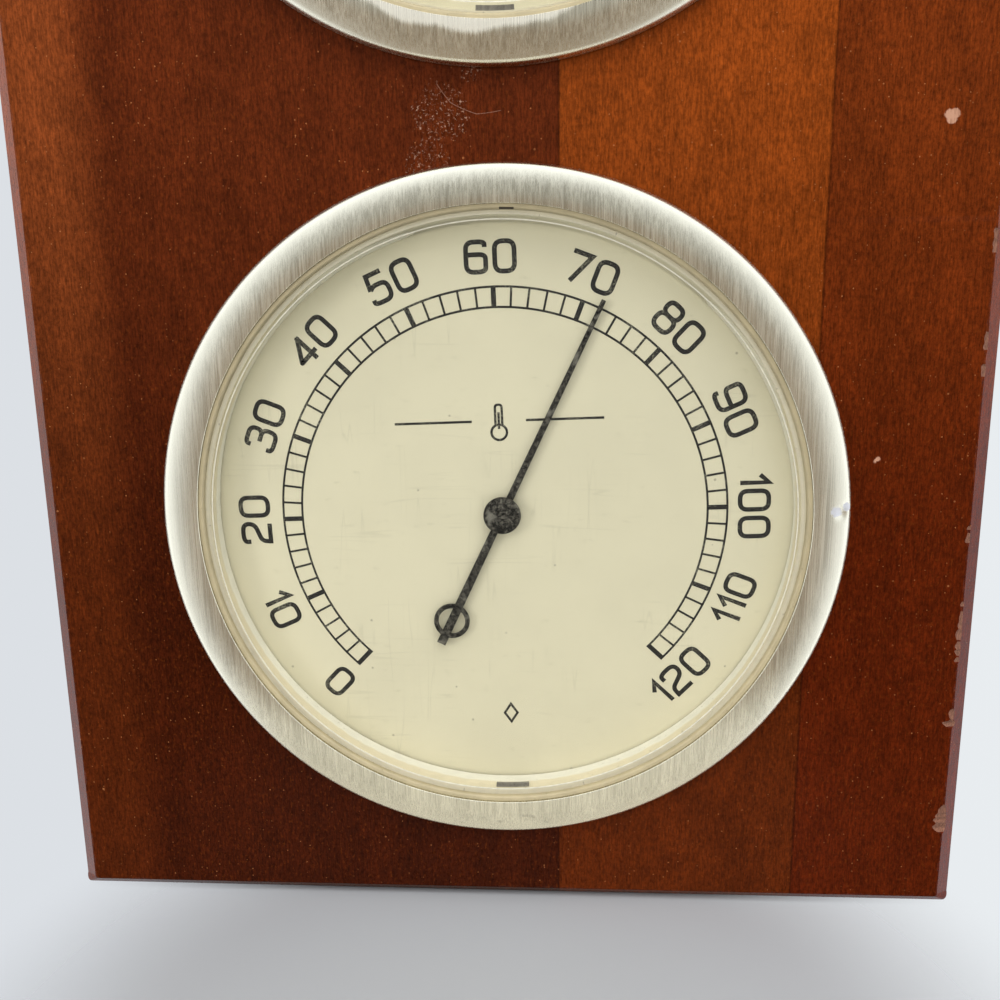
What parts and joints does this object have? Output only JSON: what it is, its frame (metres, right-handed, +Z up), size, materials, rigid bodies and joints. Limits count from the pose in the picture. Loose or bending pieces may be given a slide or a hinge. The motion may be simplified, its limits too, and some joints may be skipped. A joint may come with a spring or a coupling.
{
  "type": "weather station",
  "caption": "Upright wooden plaque with round dial thermometer, barometer and hygrometer in metal bezels, for a wall or a shelf stand.",
  "frame": {"origin": "middle of the board's bottom edge face, half way through its thickness", "axes": "+Z up along the board, +X to the right as seen from the front, +Y from the dials into the wall"},
  "size_m": [0.1396, 0.0302, 0.349],
  "materials": {
    "wood": "stained and lacquered hardwood, satin gloss",
    "bezel": "linear brushed, pale champagne",
    "lens": "clear, slightly yellowed",
    "dial": "cream with black print",
    "moulding": "black moulded",
    "rubber": "black rubber",
    "black": "black paint, worn",
    "brass": "polished brass",
    "steel": "bright plated steel",
    "bimetal": "heat-toned bimetal strip",
    "film": "coated strip",
    "felt": "felt"
  },
  "bodies": {
    "root": {"board": "wood", "hanger": "steel", "hanger_nail_1": "brass", "bumper_1": "felt", "hanger_nail_2": "brass", "bumper_2": "felt", "thermometer_bezel": "bezel", "thermometer_lens": "lens", "thermometer_dial": "dial", "thermometer_case": "moulding", "thermometer_fit_ring": "rubber", "thermometer_bush": "brass", "thermometer_screw_1": "steel", "thermometer_screw_2": "steel", "barometer_bezel": "bezel", "barometer_lens": "lens", "barometer_dial": "dial", "barometer_case": "moulding", "barometer_fit_ring": "rubber", "barometer_bush": "brass", "barometer_screw_1": "steel", "barometer_screw_2": "steel", "hygrometer_bezel": "bezel", "hygrometer_lens": "lens", "hygrometer_dial": "dial", "hygrometer_case": "moulding", "hygrometer_fit_ring": "rubber", "hygrometer_bush": "brass", "hygrometer_screw_1": "steel", "hygrometer_screw_2": "steel", "thermometer_bracket": "steel", "thermometer_coil": "bimetal", "hygrometer_bracket": "steel", "hygrometer_coil": "film", "barometer_base_plate": "steel", "barometer_capsule": "brass", "barometer_bridge": "brass", "barometer_pillar_1": "brass", "barometer_pillar_2": "brass", "barometer_hairspring": "steel"},
    "thermometer_pointer": {"thermometer_staff": "steel", "thermometer_pointer": "black", "thermometer_hub": "black"},
    "hygrometer_pointer": {"hygrometer_staff": "steel", "hygrometer_pointer": "black", "hygrometer_hub": "black"},
    "barometer_hand": {"barometer_hand_arbor": "steel", "barometer_hand": "black", "barometer_hub": "black"},
    "barometer_sector": {"barometer_sector": "brass"},
    "barometer_rocker": {"barometer_rocker": "steel"},
    "barometer_set_hand": {"barometer_set_hand": "brass", "barometer_set_knob": "brass"},
    "barometer_adjust_screw": {"barometer_adjust_screw": "brass"}
  },
  "joints": [
    {"name": "thermometer_pointer_turn", "type": "hinge", "parent": "root", "child": "thermometer_pointer", "pos_m": [0, -0.0065, 0.0625], "axis": [0, 1, 0], "range_deg": [-162, 108], "stiffness_Nm_per_rad": 0.0005, "deforming": ["thermometer_coil"]},
    {"name": "hygrometer_pointer_turn", "type": "hinge", "parent": "root", "child": "hygrometer_pointer", "pos_m": [0, -0.0065, 0.2865], "axis": [0, 1, 0], "range_deg": [-121.5, 148.5], "stiffness_Nm_per_rad": 0.0005, "deforming": ["hygrometer_coil"]},
    {"name": "barometer_hand_turn", "type": "hinge", "parent": "root", "child": "barometer_hand", "pos_m": [0, -0.0065, 0.1745], "axis": [0, 1, 0], "range_deg": [-171, 99], "stiffness_Nm_per_rad": 0.0005, "deforming": ["barometer_hairspring", "barometer_capsule"]},
    {"name": "barometer_sector_swing", "type": "hinge", "parent": "root", "child": "barometer_sector", "pos_m": [0, -0.0038, 0.197], "axis": [0, 1, 0], "range_deg": [-7.2, 12.4]},
    {"name": "barometer_rocker_rock", "type": "hinge", "parent": "root", "child": "barometer_rocker", "pos_m": [0, 0.0004, 0.196], "axis": [1, 0, 0], "range_deg": [-9.3, 15.9]},
    {"name": "barometer_set_hand_turn", "type": "hinge", "parent": "root", "child": "barometer_set_hand", "pos_m": [0, -0.0145, 0.1745], "axis": [0, 1, 0], "continuous": true},
    {"name": "barometer_adjust_screw_turn", "type": "hinge", "parent": "root", "child": "barometer_adjust_screw", "pos_m": [0, 0.0078, 0.1545], "axis": [0, 1, 0], "range_deg": [-180, 180]}
  ],
  "couplings": [
    {"joint": "barometer_sector_swing", "follows": "barometer_hand_turn", "ratio": -0.071429},
    {"joint": "barometer_rocker_rock", "follows": "barometer_hand_turn", "ratio": -0.092166}
  ]
}
